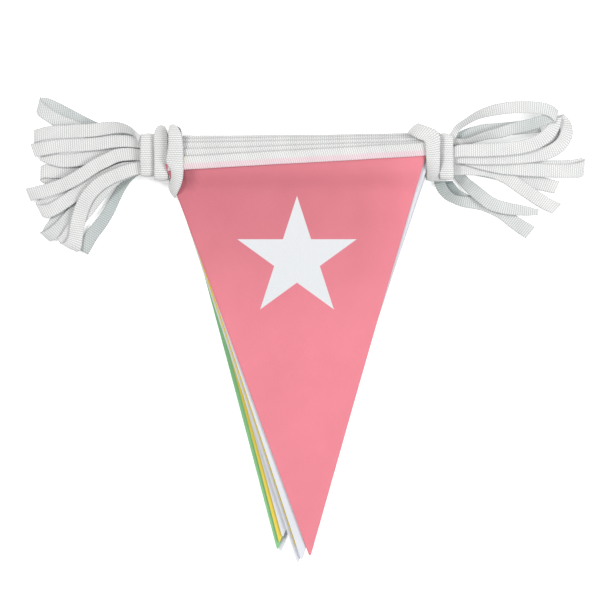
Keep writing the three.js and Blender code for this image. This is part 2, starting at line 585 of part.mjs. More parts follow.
// Triangle with a rounded tip and slightly hollow edges, its top edge a seam's width under the tape's
function flagOutline(flag) {
  const tip = new THREE.Vector2(flag.tipX, flag.tipY);
  const slope = (flag.tapeRight - flag.tapeLeft) / (BAND_RIGHT - BAND_LEFT);
  const corner = (edgeX) => {
    const edge = new THREE.Vector2(edgeX, EDGE_LEVEL).sub(tip);
    const topAtTip = tapeTop(flag, flag.tipX) - (TAPE_WIDTH - SEAM);
    return tip.clone().addScaledVector(edge, (topAtTip - tip.y) / (edge.y - slope * edge.x));
  };
  const left = corner(flag.left);
  const right = corner(flag.right);
  const nearTip = (from) => tip.clone().addScaledVector(from.clone().sub(tip).normalize(), TIP_ROUND);
  const hollow = (from, inward) => {
    const middle = from.clone().add(nearTip(from)).multiplyScalar(0.5);
    return middle.add(new THREE.Vector2(inward * 2 * EDGE_HOLLOW, 0));
  };
  const shape = new THREE.Shape();
  shape.moveTo(left.x, left.y);
  shape.quadraticCurveTo(hollow(left, 1).x, hollow(left, 1).y, nearTip(left).x, nearTip(left).y);
  shape.quadraticCurveTo(tip.x, tip.y, nearTip(right).x, nearTip(right).y);
  shape.quadraticCurveTo(hollow(right, -1).x, hollow(right, -1).y, right.x, right.y);
  return shape;
}

function tapeOutline(flag) {
  const shape = new THREE.Shape();
  shape.moveTo(LEFT_END, tapeTop(flag, LEFT_END) - TAPE_WIDTH);
  shape.lineTo(RIGHT_END, tapeTop(flag, RIGHT_END) - TAPE_WIDTH);
  shape.lineTo(RIGHT_END, tapeTop(flag, RIGHT_END));
  shape.lineTo(LEFT_END, tapeTop(flag, LEFT_END));
  return shape;
}

const bunting = new THREE.Group();

function addPiece(name, geometry, colour, roughness) {
  const material = new THREE.MeshStandardMaterial({ color: COLOURS[colour], roughness, metalness: 0 });
  const mesh = new THREE.Mesh(geometry, material);
  mesh.name = name;
  bunting.add(mesh);
}

FLAGS.forEach((flag, place) => {
  const below = FLAG_COUNT - 1 - place;
  const cloth = layer(below, 0, CLOTH).intersect(cutter(flagOutline(flag)));
  const tape = layer(below, CLOTH + CLEAR, TAPE).intersect(cutter(tapeOutline(flag)));
  addPiece(`flag_${place + 1}`, toGeometry(cloth), flag.colour, 0.75);
  addPiece(`tape_${place + 1}`, toGeometry(tape), 'tape', 0.9);
});

LEFT_LOOPS.forEach((rows, place) => {
  addPiece(`left_loop_${place + 1}`, loop(rows), 'tape', 0.9);
});
RIGHT_LOOPS.forEach((rows, place) => {
  addPiece(`right_loop_${place + 1}`, loop(rows), 'tape', 0.9);
});

const leftTie = [
  ...ringSections(RINGS.leftOuter, -58, 246),
  ...ringSections(RINGS.leftInner, -58, 246),
  ...tieSections(LEFT_SLACK),
];
addPiece('left_tie', ribbon(leftTie, 1), 'tape', 0.9);

const rightTie = [...ringSections(RINGS.right, -58, 240), ...tieSections(RIGHT_FLAP)];
addPiece('right_tie', ribbon(rightTie, 1), 'tape', 0.9);

export default bunting;
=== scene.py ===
# %% [markdown]
# # Folded bunting
# This is a string of nine triangular flags, folded up for storage. The flags lie in one stack, each
# sewn to the same white woven tape. The spare tape between them lies in flat loops at both sides,
# and a few turns of tape tie each bundle at its neck. The CAD model already has every fold as a
# plain solid. Here each solid gets a finer sheet of cloth in the same place.

import math

import bmesh
import bpy
import numpy as np
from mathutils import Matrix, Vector, noise


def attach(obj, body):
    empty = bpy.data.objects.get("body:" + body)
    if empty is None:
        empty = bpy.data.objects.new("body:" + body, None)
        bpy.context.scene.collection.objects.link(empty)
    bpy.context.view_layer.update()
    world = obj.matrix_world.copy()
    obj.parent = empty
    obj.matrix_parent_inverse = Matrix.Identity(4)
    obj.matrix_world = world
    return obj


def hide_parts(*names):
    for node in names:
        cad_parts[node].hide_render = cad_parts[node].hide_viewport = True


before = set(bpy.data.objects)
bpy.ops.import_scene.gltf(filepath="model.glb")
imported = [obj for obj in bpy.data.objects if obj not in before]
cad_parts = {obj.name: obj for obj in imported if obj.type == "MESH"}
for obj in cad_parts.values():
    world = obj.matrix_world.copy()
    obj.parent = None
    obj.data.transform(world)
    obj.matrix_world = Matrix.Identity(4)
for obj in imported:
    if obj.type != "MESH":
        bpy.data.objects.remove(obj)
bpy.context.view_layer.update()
MM = 0.001
print("CAD pieces:", len(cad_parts))

# %% [markdown]
# ## Camera
# The bundle was photographed from straight above, from well back, so nothing leans. A long lens at
# three metres does the same. The frame takes in 450 mm, ten millimetres above the floor.

# %% Camera
CAMERA_HEIGHT = 3.01
FRAMED_HEIGHT = 0.01
VIEW_WIDTH = 0.45
SENSOR = 36.0

camera_data = bpy.data.cameras.new("camera")
camera_data.sensor_width = SENSOR
camera_data.lens = SENSOR * (CAMERA_HEIGHT - FRAMED_HEIGHT) / VIEW_WIDTH
camera = bpy.data.objects.new("camera", camera_data)
camera.location = (0, 0, CAMERA_HEIGHT)
bpy.context.scene.collection.objects.link(camera)
bpy.context.scene.camera = camera
print("lens:", round(camera_data.lens), "mm")

# %% [markdown]
# ## Studio
# White cloth on a white floor needs very even light, or its folds drown in shadow. A white world
# fills from all sides. A lamp high on the left gives the folds their small shadows, and a wider,
# nearer one on the right makes that side of the front flag a little lighter. The floor glows
# faintly, so that it stays pure white under the tape's small shadows.

# %% Floor
FLOOR_REACH = 4
FLOOR_DROP = 0.0002
FLOOR_GLOW = 0.3

floor_bm = bmesh.new()
bmesh.ops.create_grid(floor_bm, x_segments=1, y_segments=1, size=FLOOR_REACH)
floor_mesh = bpy.data.meshes.new("floor")
floor_bm.to_mesh(floor_mesh)
floor_bm.free()
floor = bpy.data.objects.new("floor", floor_mesh)
floor.location.z = -FLOOR_DROP
bpy.context.scene.collection.objects.link(floor)

floor_paint = bpy.data.materials.new("floor_paint")
floor_paint.use_nodes = True
floor_shader = floor_paint.node_tree.nodes["Principled BSDF"]
floor_shader.inputs["Base Color"].default_value = (0.97, 0.97, 0.97, 1)
floor_shader.inputs["Roughness"].default_value = 0.9
floor_shader.inputs["Emission Color"].default_value = (1, 1, 1, 1)
floor_shader.inputs["Emission Strength"].default_value = FLOOR_GLOW
floor_mesh.materials.append(floor_paint)
print("floor reaches", FLOOR_REACH, "m each way")


# %% Lamps
WORLD_LIGHT = 0.55


def lamp(name, place, width, power, tint):
    """A square lamp that faces the bundle."""
    data = bpy.data.lights.new(name, "AREA")
    data.shape = "SQUARE"
    data.size = width
    data.energy = power
    data.color = tint
    made = bpy.data.objects.new(name, data)
    made.location = place
    made.rotation_euler = (-Vector(place)).to_track_quat("-Z", "Y").to_euler()
    bpy.context.scene.collection.objects.link(made)
    print(name, power, "W")


lamp("left_lamp", place=(-0.9, 0.7, 1.9), width=0.5, power=22, tint=(1.0, 0.99, 0.98))
lamp("right_lamp", place=(1.1, -0.1, 1.3), width=0.8, power=16, tint=(1.0, 1.0, 1.0))

world = bpy.data.worlds.new("studio")
world.use_nodes = True
world.node_tree.nodes["Background"].inputs["Color"].default_value = (1, 1, 1, 1)
world.node_tree.nodes["Background"].inputs["Strength"].default_value = WORLD_LIGHT
bpy.context.scene.world = world
bpy.context.scene.view_settings.view_transform = "Standard"

# %% [markdown]
# ## Smooth paths
# A maker thinks of a tape as a line that it follows, with its width turned this way or that. The
# tables below give such a line by a few rows. A Catmull-Rom curve passes through every row, so a
# row is simply a place that was read off the bundle.

# %% Curve through the rows of a table
LEAST_GAP = 1e-4


def smooth_rows(points, steps, centripetal):
    """Points on a Catmull-Rom curve through all the given points, so many steps to each."""
    points = np.array(points, float)
    first = 2 * points[0] - points[1]
    last = 2 * points[-1] - points[-2]
    padded = np.vstack([first, points, last])
    out = []
    for i in range(len(points) - 1):
        p0, p1, p2, p3 = padded[i : i + 4]
        if centripetal:
            gaps = (p1 - p0, p2 - p1, p3 - p2)
            d0, d1, d2 = (max(np.linalg.norm(gap) ** 0.5, LEAST_GAP) for gap in gaps)
            t1 = ((p1 - p0) / d0 - (p2 - p0) / (d0 + d1) + (p2 - p1) / d1) * d1
            t2 = ((p2 - p1) / d1 - (p3 - p1) / (d1 + d2) + (p3 - p2) / d2) * d1
        else:
            t1, t2 = (p2 - p0) / 2, (p3 - p1) / 2
        squared = 3 * (p2 - p1) - 2 * t1 - t2
        cubed = 2 * (p1 - p2) + t1 + t2
        for step in range(steps):
            t = step / steps
            out.append(p1 + t1 * t + squared * t**2 + cubed * t**3)
    out.append(points[-1])
    return np.array(out)


def ramp(value, start, full):
    """0 before start and 1 from full on, with a soft rise between."""
    t = min(max((value - start) / (full - start), 0), 1)
    return t * t * (3 - 2 * t)


# %% [markdown]
# ## Sheets from a grid
# Cloth and tape are both thin sheets, so both start as a flat grid. Each grid point is then moved
# to its place by a function of how far along and how far across the sheet it is. The same two
# numbers, in metres, become the UV map, and so the weave keeps its true size however the sheet is
# folded. A third number, the tone, tells how deep the cloth lies in the shade of its neighbours.
# Solidify gives the thickness and Bevel softens the cut edge.

# %% Sheet maker
SOFT_EDGE = 0.12
EDGE_ANGLE = 50
SAME_PLACE = 2e-6


def sheet_piece(name, along, across, place, thickness):
    """A cloth sheet: place(i, j) gives a point, its distances along and across, and its shade."""
    bm = bmesh.new()
    uv_layer = bm.loops.layers.uv.new("weave")
    tone_layer = bm.verts.layers.float.new("tone")
    bmesh.ops.create_grid(bm, x_segments=along, y_segments=across, size=1)
    spots = {}
    for vert in bm.verts:
        i = round((vert.co.x + 1) / 2 * along)
        j = round((vert.co.y + 1) / 2 * across)
        point, distances, tone = place(i, j)
        vert.co = Vector(point) * MM
        vert[tone_layer] = tone
        spots[vert] = (distances[0] * MM, distances[1] * MM)
    for face in bm.faces:
        face.smooth = True
        for corner in face.loops:
            corner[uv_layer].uv = spots[corner.vert]
    bmesh.ops.remove_doubles(bm, verts=bm.verts, dist=SAME_PLACE)
    mesh = bpy.data.meshes.new(name)
    bm.to_mesh(mesh)
    bm.free()
    piece = bpy.data.objects.new(name, mesh)
    bpy.context.scene.collection.objects.link(piece)
    wall = piece.modifiers.new("cloth thickness", "SOLIDIFY")
    wall.thickness = thickness * MM
    wall.offset = 0
    soft = piece.modifiers.new("soft edge", "BEVEL")
    soft.width = SOFT_EDGE * MM
    soft.segments = 1
    soft.limit_method = "ANGLE"
    soft.angle_limit = math.radians(EDGE_ANGLE)
    return piece


# %% [markdown]
# ## Flags
# Each flag is a tall triangle of smooth cloth with a small round tip. Its two long edges bow in a
# hair. One grid makes it: a grid row runs from the left edge to the right edge, and the rows close
# up towards the tip. The stack swells where the tapes lie between the flags, so each flag's height
# comes from how many lie below it.

# %% Flag and stack sizes, in millimetres
CLOTH = 1.0
TAPE = 1.0
TAPE_WIDTH = 10
SEAM = 5
CLEAR = 0.3
CLOTH_PITCH = CLOTH + CLEAR
BAND_PITCH = CLOTH + TAPE + 2 * CLEAR
TIP_ROUND = 3
TIP_START = 0.96
EDGE_HOLLOW = 0.5
EDGE_LEVEL = 105
BAND_LEFT, BAND_RIGHT = -87, 92
LEFT_END, RIGHT_END = -98.7, 104.7

# Flags from the front to the back. left and right are where the long edges cross EDGE_LEVEL, and
# tape_left and tape_right the tape's top edge at the two ends of the band.
FLAG_COLUMNS = ("cloth", "tip_x", "tip_y", "left", "right", "tape_left", "tape_right")
FLAG_ROWS = (
    ("pink", 7.5, -193.2, -102.2, 93.3, 107.2, 117.5),
    ("white", 1.2, -196.3, -98.8, 97.0, 112.9, 118.9),
    ("yellow", -2.8, -186.8, -100.2, 95.5, 117.8, 121.5),
    ("white", -1.7, -198.6, -100.4, 98.6, 120.8, 123.4),
    ("white", -8.6, -178.2, -94.3, 97.5, 123.2, 124.9),
    ("white", -13.1, -179.0, -92.2, 97.0, 121.9, 123.8),
    ("yellow", -15.6, -183.2, -91.6, 98.0, 120.0, 124.4),
    ("green", -17.0, -188.6, -95.6, 98.0, 122.4, 122.7),
    ("white", -14.6, -190.4, -92.2, 96.5, 119.3, 121.0),
)
FLAGS = [dict(zip(FLAG_COLUMNS, row)) for row in FLAG_ROWS]
print("flags in the table:", len(FLAGS))

# %% Height of the stack
GREEN = 7
LOWER_FLAGS = 5
TIE_LIFT = 1.6
SWELL = 0.16


def past_lower_flags(x, y):
    """How far a place lies to the right of the five lower flags, whose longest is the green one."""
    green = FLAGS[GREEN]
    run, rise = green["right"] - green["tip_x"], EDGE_LEVEL - green["tip_y"]
    return (rise * (x - green["tip_x"]) - run * (y - green["tip_y"])) / math.hypot(run, rise)


def flag_height(below, x, y):
    """Underside of the flag that has so many flags below it, in millimetres.

    The ties pass under the band's two ends and lift them. The sewn tapes spread the stack near the
    band, air swells it further down, and the upper flags sag to the floor past the lower ones.
    """
    lift = max(ramp(x, -70, -86), ramp(x, 60, 77))
    spread = (BAND_PITCH - CLOTH_PITCH) * ramp(y, 80, 101)
    swell = SWELL * (1 + math.sin(x / 34 - y / 60)) * (1 - ramp(y, 40, 80))
    sink = LOWER_FLAGS * ramp(past_lower_flags(x, y), 12, 32) if below >= LOWER_FLAGS else 0
    sag = sink * CLOTH_PITCH * (1 - ramp(y, 0, 60))
    return TIE_LIFT * lift * ramp(y, 20, 60) + below * (CLOTH_PITCH + spread + swell) - sag


def tape_top(flag, x):
    """The top edge of a flag's tape, which runs straight from one end of the band to the other."""
    rise = flag["tape_right"] - flag["tape_left"]
    return flag["tape_left"] + rise * (x - BAND_LEFT) / (BAND_RIGHT - BAND_LEFT)


def crease(x, y, seed, size):
    """A soft dent or swelling of ironed cloth, from -1 to 1."""
    return noise.noise(Vector((x / size, y / size, seed)))


# %% Outline of a flag
def bend(start, control, end, t):
    """A place on a plain curve with one control point."""
    return start * (1 - t) ** 2 + control * 2 * t * (1 - t) + end * t * t


def flag_edges(flag):
    """Left and right edge of a flag, as functions of 0 at the tape to 1 at the tip."""
    tip = Vector((flag["tip_x"], flag["tip_y"]))
    slope = (flag["tape_right"] - flag["tape_left"]) / (BAND_RIGHT - BAND_LEFT)
    sides = []
    for edge_x, inward in ((flag["left"], 1), (flag["right"], -1)):
        edge = Vector((edge_x, EDGE_LEVEL)) - tip
        top = tape_top(flag, tip.x) - (TAPE_WIDTH - SEAM)
        corner = tip + edge * ((top - tip.y) / (edge.y - slope * edge.x))
        near_tip = tip + (corner - tip).normalized() * TIP_ROUND
        hollow = (corner + near_tip) / 2 + Vector((inward * 2 * EDGE_HOLLOW, 0))
        sides.append((corner, hollow, near_tip))
    foot = (sides[0][2] + sides[1][2] + tip * 2) / 4

    def follow(side, t):
        corner, hollow, near_tip = side
        if t <= TIP_START:
            return bend(corner, hollow, near_tip, t / TIP_START)
        return bend(near_tip, near_tip.lerp(tip, 0.5), foot, (t - TIP_START) / (1 - TIP_START))

    return lambda t: follow(sides[0], t), lambda t: follow(sides[1], t)


# %% Nine flags
FLAG_ACROSS, FLAG_DOWN = 56, 90
ROW_CROWDING = 0.85
SHOWN_CLOTH = 0.7
DENT, FINE_DENT = 0.10, 0.04
BAND_SHADE, TIE_SHADE, SEAM_GLEAM = 0.36, 0.4, 0.09
TIE_X, TIE_Y = -84, 95
flag_pieces = []


def flag_tone(number, x, y):
    """How deep the cloth lies in shade: the front flag darkens near the band and the left tie."""
    if number > 1:
        return 0
    rise = BAND_SHADE * ramp(y, -40, 85) - SEAM_GLEAM * ramp(y, 76, 98)
    broad = rise * (1 - 0.22 * ramp(x, -30, 30) - 0.78 * ramp(x, 42, 88))
    from_tie = math.hypot(x - TIE_X, (y - TIE_Y) * 0.55)
    return broad + TIE_SHADE * (1 - ramp(from_tie, 2, 9))


def flag_piece(number, flag):
    """One flag, with grid rows from its tape to its tip that crowd a little towards the tip."""
    below = len(FLAGS) - number
    left, right = flag_edges(flag)

    def place(i, j):
        t = (i / FLAG_DOWN) ** ROW_CROWDING
        x, y = left(t).lerp(right(t), j / FLAG_ACROSS)
        ripple = DENT * crease(x, y, number * 3.1, 46) + FINE_DENT * crease(x, y, number * 5.7, 13)
        height = flag_height(below, x, y) + CLOTH / 2 + ripple
        return (x, y, height), (x, y), flag_tone(number, x, y)

    return sheet_piece(f"flag_cloth_{number}", FLAG_DOWN, FLAG_ACROSS, place, SHOWN_CLOTH)


for number, flag in enumerate(FLAGS, 1):
    piece = flag_piece(number, flag)
    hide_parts(f"flag_{number}")
    flag_pieces.append(piece)
print("flags:", len(flag_pieces))

# %% [markdown]
# ## Tape along the flags
# The tape is sewn over each flag's top edge, half on the cloth and half above it. Nine stretches
# lie one over the other, a little fanned, and their edges show as steps along the band. Each is a
# plain strip that follows its flag, with a slight wave, because a woven tape never lies quite
# straight. Its ribs lean a little, which the UV map gives.

# %% Nine stretches of sewn tape
BAND_STEPS, TAPE_ACROSS = 150, 8
SHOWN_TAPE = 0.75
BAND_WAVE = 0.35
TAPE_RIPPLE = 0.10
RIB_LEAN = 0.3
tape_pieces = []


def band_piece(number, flag):
    """The stretch of tape on one flag, from the left tie to the right one."""
    below = len(FLAGS) - number

    def place(i, j):
        x = LEFT_END + (RIGHT_END - LEFT_END) * i / BAND_STEPS
        wave = BAND_WAVE * crease(x, 0, number * 2.3, 30)
        w = TAPE_WIDTH * j / TAPE_ACROSS
        y = tape_top(flag, x) - TAPE_WIDTH + w + wave
        ripple = TAPE_RIPPLE * crease(x, y, number * 7.7, 9)
        z = flag_height(below, x, y) + CLOTH + CLEAR + TAPE / 2 + ripple
        return (x, y, z), (x - LEFT_END + RIB_LEAN * w, w), 0

    return sheet_piece(f"sewn_tape_{number}", BAND_STEPS, TAPE_ACROSS, place, SHOWN_TAPE)


for number, flag in enumerate(FLAGS, 1):
    piece = band_piece(number, flag)
    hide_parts(f"tape_{number}")
    tape_pieces.append(piece)
print("sewn stretches:", len(tape_pieces))

# %% [markdown]
# ## Ribbons that turn and fold
# A loop of tape runs out of its tie, turns back on itself in a flat fold and runs home below its
# own outward run, or a little beside it. A curve with a bevel would round the tape off, so the
# strip is swept by hand instead: a smooth line for the middle, a smooth direction for the width,
# and a grid row at each step. Real tape cups a little between its edges and rocks from side to
# side, which a small noise gives.


# %% Ribbon sweep
def width_direction(turn, tilt=0):
    """Where the tape's width points: turned from east towards north, and tilted up."""
    turn, tilt = math.radians(turn), math.radians(tilt)
    flat = math.cos(tilt)
    return np.array((flat * math.cos(turn), flat * math.sin(turn), math.sin(tilt)))


def ribbon_piece(name, sections, steps, seed, rock=0.25, cup=0.0, stray=0.0, tones=(0, 0)):
    """Sweeps the tape through sections of centre, width direction and width, all in millimetres.

    rock tips the tape from side to side, cup drops its two edges and stray moves it sideways. tones
    tell how deep the tape lies in shade, at even distances from its start to its end.
    """
    centres = smooth_rows([s[0] for s in sections], steps, True)
    widths = smooth_rows([s[1] for s in sections], steps, False)
    places = np.arange(len(centres)) / steps
    shown = np.interp(places, np.arange(len(sections)), [s[2] for s in sections])
    distance = np.concatenate([[0], np.cumsum(np.linalg.norm(np.diff(centres, axis=0), axis=1))])
    forward = np.gradient(centres, axis=0)

    def place(i, j):
        across = widths[i] / np.linalg.norm(widths[i])
        normal = np.cross(forward[i], across)
        normal /= np.linalg.norm(normal)
        side = j / TAPE_ACROSS * 2 - 1
        sway = rock * side * noise.noise(Vector((distance[i] / 17, seed, 0.3))) - cup * side * side
        ripple = TAPE_RIPPLE * noise.noise(Vector((distance[i] / 6, seed, side)))
        aside = stray * noise.noise(Vector((distance[i] / 22, seed, 5.1)))
        point = centres[i] + across * (side * shown[i] / 2 + aside) + normal * (sway + ripple)
        tone = np.interp(distance[i] / distance[-1], np.linspace(0, 1, len(tones)), tones)
        return point, (distance[i], (side + 1) / 2 * TAPE_WIDTH), tone

    piece = sheet_piece(name, len(centres) - 1, TAPE_ACROSS, place, SHOWN_TAPE)
    return piece, distance[-1]


# %% [markdown]
# ## Loops of spare tape
# Ten loops lie on the left and nine on the right. Each is a table of places from its root in the
# tie to its outer fold, and each row tells the lie of both strands there, so the way back needs no
# table of its own. A row is x and y of the upper strand's centre, the heights of the upper and the
# lower strand, how far the lower strand lies beside the upper one, the turn and tilt of the width
# in degrees, and the width that shows flat. The last row is the fold.

# %% Loop from a table
FOLD_DEPTH = 2.6


def loop_sections(rows):
    """Out along the upper strand, round the fold and back along the lower one."""
    rows = list(rows)
    x, y, top, low, aside, turn, tilt, wide = rows.pop()
    heading = np.array((x - rows[-1][0], y - rows[-1][1]), float)
    heading /= np.linalg.norm(heading)
    fold_across = width_direction(turn, tilt)
    outer = (np.array((x, y, (top + low) / 2)) + fold_across * aside / 2, fold_across, wide)
    inner_x, inner_y = np.array((x, y)) - heading * FOLD_DEPTH
    rows.append((inner_x, inner_y, top, low, aside, turn, tilt, wide))
    upper, lower = [], []
    for x, y, top, low, aside, turn, tilt, wide in rows:
        across = width_direction(turn, tilt)
        upper.append((np.array((x, y, top)), across, wide))
        lower.append((np.array((x, y, low)) + width_direction(turn) * aside, across, wide))
    return upper + [outer] + lower[::-1]


# %% Left loops
LEFT_LOOPS = [
    [
        [-99.2, 118.2, 4.6, 3.1, 0, 90, 0, 8.6],
        [-109, 118.2, 4.6, 3.1, 0, 90, 0, 8.6],
        [-119, 118.4, 4.6, 3.1, 0, 91, 0, 8.6],
        [-134, 120.4, 4.2, 2.7, 2, 93, 0, 9.6],
        [-150, 123, 3.6, 2.1, 4.5, 90, 0, 10],
        [-171, 130.5, 3.6, 1.6, 7, 84, 0, 10],
        [-183.8, 135.8, 3.4, 1.2, 8, 80, 0, 10],
        [-191.5, 140.8, 3.2, 1, 6, 77, 0, 10.4],
        [-197, 145.2, 3.2, 1, 3.5, 76, 0, 11],
    ],
    [
        [-99.2, 118.2, 13.3, 11.8, 0, 90, 0, 8.6],
        [-109, 118.2, 13.3, 11.8, 0, 90, 0, 8.6],
        [-118.6, 119, 14.4, 12.3, 0, 92, 4, 7.2],
        [-122.8, 123.6, 17, 13.2, 0, 102, 36, 6.6],
        [-126.2, 126.6, 16.8, 13.5, 0, 104, 42, 8],
        [-131.5, 128.5, 16.3, 14.1, 0, 98, 38, 8.8],
        [-138, 129.2, 14.8, 12.9, 0, 93, 26, 9.4],
        [-146, 128.6, 12.6, 10.9, 0, 91, 12, 10],
        [-155, 127.4, 10.8, 9.4, 0, 90, 4, 10],
        [-172.5, 126.4, 8.4, 6.9, 0, 90, 0, 10],
        [-191.2, 125.2, 5.2, 3.6, 0, 88, 0, 10],
        [-199.8, 122.8, 4, 1.4, 0, 88, 0, 10],
    ],
    [
        [-99.2, 118.2, 10.4, 8.9, 0, 90, 0, 8.6],
        [-109, 118.2, 10.4, 8.9, 0, 90, 0, 8.6],
        [-119, 118.2, 10.4, 8.9, 0, 90, 0, 8.6],
        [-131.2, 119.2, 9.9, 8.5, 0, 92, 0, 8.8],
        [-142.5, 118.9, 9.3, 7.9, 0, 93, 0, 10],
        [-152.2, 117.4, 8.7, 7.3, 0, 93, 0, 10],
        [-165, 116.4, 8, 6.6, 0, 94, 0, 10],
        [-180, 115.5, 7.6, 6.2, 0, 96, 0, 10],
        [-191.2, 113.8, 7.2, 5.5, 0, 102, 0, 10],
        [-200.5, 112.5, 5.4, 3.6, 0, 110, 0, 10.4],
    ],
    [
        [-99.2, 108.8, 7.5, 6, 0, 90, 0, 8.6],
        [-109, 108.8, 7.5, 6, 0, 90, 0, 8.6],
        [-119, 109.2, 7.5, 6, 0, 91, 0, 8.6],
        [-131.2, 113, 7.1, 5.7, 0, 98, 0, 10],
        [-141, 113.4, 6.6, 5.3, 0, 102, 0, 10],
        [-150, 110.4, 5.6, 4.2, 0, 110, 0, 10],
        [-161.2, 106.5, 5.4, 4, 0, 104, 0, 10],
        [-171, 105, 5.4, 4, 0, 92, 0, 10],
        [-180, 104.8, 5, 3.6, 0, 86, 0, 10],
        [-187.5, 106.9, 4.6, 3.2, 0, 75, 0, 10],
        [-194.2, 109.9, 3.4, 1.2, 0, 72, 0, 10],
    ],
    [
        [-99.2, 108.8, 4.6, 3.1, 0, 90, 0, 8.6],
        [-109, 108.8, 4.6, 3.1, 0, 90, 0, 8.6],
        [-119, 108.8, 4.6, 3.1, 0, 91, 0, 8.6],
        [-135, 107.8, 3.9, 2.5, 0, 103, 0, 10],
        [-150, 102.2, 2.9, 1.5, 0, 112, 0, 10],
        [-161.2, 97.9, 2.4, 1, -1, 104, 0, 10],
        [-175, 96.6, 2.3, 0.9, -3.5, 96, 0, 10],
        [-187.5, 96.6, 2.4, 0.9, -4, 90, 0, 10],
        [-195, 97, 2.9, 0.8, -4, 88, 0, 10],
    ],
    [
        [-99.2, 108.8, 10.4, 8.9, 0, 90, 0, 8.6],
        [-109, 108.8, 10.4, 8.9, 0, 90, 0, 8.6],
        [-119, 108.8, 10.4, 8.9, 0, 92, 0, 8.6],
        [-128, 109.4, 10.3, 8.9, 0, 97, 0, 9.6],
        [-137.2, 108.4, 10.2, 8.8, 0, 106, 0, 10],
        [-145.5, 104.6, 10.4, 9, 0, 116, 0, 10],
        [-153, 100.9, 9.9, 8.5, 0, 119, 0, 10],
        [-163.5, 94.1, 8.9, 7.5, 0, 120, 0, 10],
        [-172.5, 88.9, 8.4, 7, 0, 116, 0, 10],
        [-181.5, 85.1, 5.8, 4.4, 0, 112, 0, 10],
        [-191.2, 82.1, 4.4, 2.6, 0, 108, 0, 10],
        [-204.4, 79.1, 3.2, 1, 0, 112, 0, 10],
    ],
    [
        [-99.2, 99.4, 10.4, 8.9, 0, 90, 0, 8.6],
        [-109, 99.4, 10.4, 8.9, 0, 90, 0, 8.6],
        [-119, 99.4, 10.4, 8.9, 0, 94, 0, 8.6],
        [-131.2, 98.4, 9.2, 7.8, 0, 104, 0, 10],
        [-142.5, 94.6, 8, 6.6, 0, 114, 0, 10],
        [-153.8, 89.2, 6.9, 5.5, 0, 122, 0, 10],
        [-165, 82.3, 5.8, 4.4, 0, 127, 0, 10],
        [-174, 75.6, 5.1, 3.7, 1.5, 128, 0, 10],
        [-186, 68.2, 4.2, 2.6, 4, 120, 0, 10],
        [-195, 65.8, 3.4, 1.2, 4.5, 117, 0, 11],
    ],
    [
        [-99.2, 99.4, 7.5, 6, 0, 90, 0, 8.6],
        [-109, 99.4, 7.5, 6, 0, 90, 0, 8.6],
        [-118, 99, 7.4, 5.9, 0, 96, 0, 8.6],
        [-125.5, 97.4, 6.9, 5.4, 0, 106, 0, 9.4],
        [-131.2, 95.2, 6.4, 4.9, 0, 112, 0, 10],
        [-144, 89.2, 5, 3.6, 0, 120, 0, 10],
        [-156, 81, 3.7, 2.3, 2.5, 128, 0, 10],
        [-165, 72.4, 2.5, 1.1, 4.6, 134, 0, 10],
        [-172.5, 63, 2.4, 1, 5.5, 136, 0, 10],
        [-180, 54.8, 2.4, 0.9, 5, 136, 0, 10],
        [-186.5, 49.5, 2.8, 1, 3, 137, 0, 10],
        [-191.4, 47, 2.8, 1, 1, 138, 0, 10],
    ],
    [
        [-99.2, 99.4, 13.3, 11.8, 0, 90, 0, 8.6],
        [-109, 99.4, 13.3, 11.8, 0, 90, 0, 8.6],
        [-118, 99, 13.3, 11.8, 0, 96, 0, 8.6],
        [-125.5, 97.8, 12.9, 11.5, 0, 104, 0, 9.4],
        [-131.2, 96, 12.4, 11, 0, 108, 0, 10],
        [-142.5, 91.4, 11.2, 9.8, -3, 118, 0, 10],
        [-151.5, 85.9, 10, 8.6, -5.2, 128, 0, 10.4],
        [-159, 78, 8.6, 7, -5.4, 142, 0, 10.6],
        [-164.2, 67.5, 6.8, 5.2, -3.6, 162, 0, 11],
        [-167.2, 56.2, 6, 4.5, 1.5, 172, 0, 11],
        [-168.8, 46.5, 5.3, 3.9, 5.5, 166, 0, 11],
        [-171.4, 38.2, 5.4, 3.2, 6.4, 152, 0, 13],
    ],
    [
        [-99.2, 99.4, 4.6, 3.1, 0, 90, 0, 8.6],
        [-108, 99.4, 4.6, 3.1, 0, 90, 0, 8.6],
        [-114.5, 99.4, 4.6, 3.1, 0, 92, 0, 8.6],
        [-119.8, 98.9, 4.5, 3, 0, 96, 0, 8.6],
        [-126, 96, 3.9, 2.4, 0, 108, 0, 9.4],
        [-130.2, 91.2, 3.3, 1.8, 0, 126, 0, 7.6],
        [-134.8, 83.8, 2.5, 1.1, 0, 144, 0, 6.8],
        [-139.4, 75.4, 2.2, 0.8, 0, 154, 0, 7.4],
        [-143.4, 67.4, 2, 0.7, 0, 154, 0, 8.2],
        [-150, 57.4, 1.9, 0.6, 0, 150, 0, 9.4],
        [-156.8, 48.8, 1.9, 0.6, 0, 149, 0, 10],
        [-163.7, 36.8, 2.4, 0.6, 0, 149, 0, 10],
    ],
]
print("left loops:", len(LEFT_LOOPS))

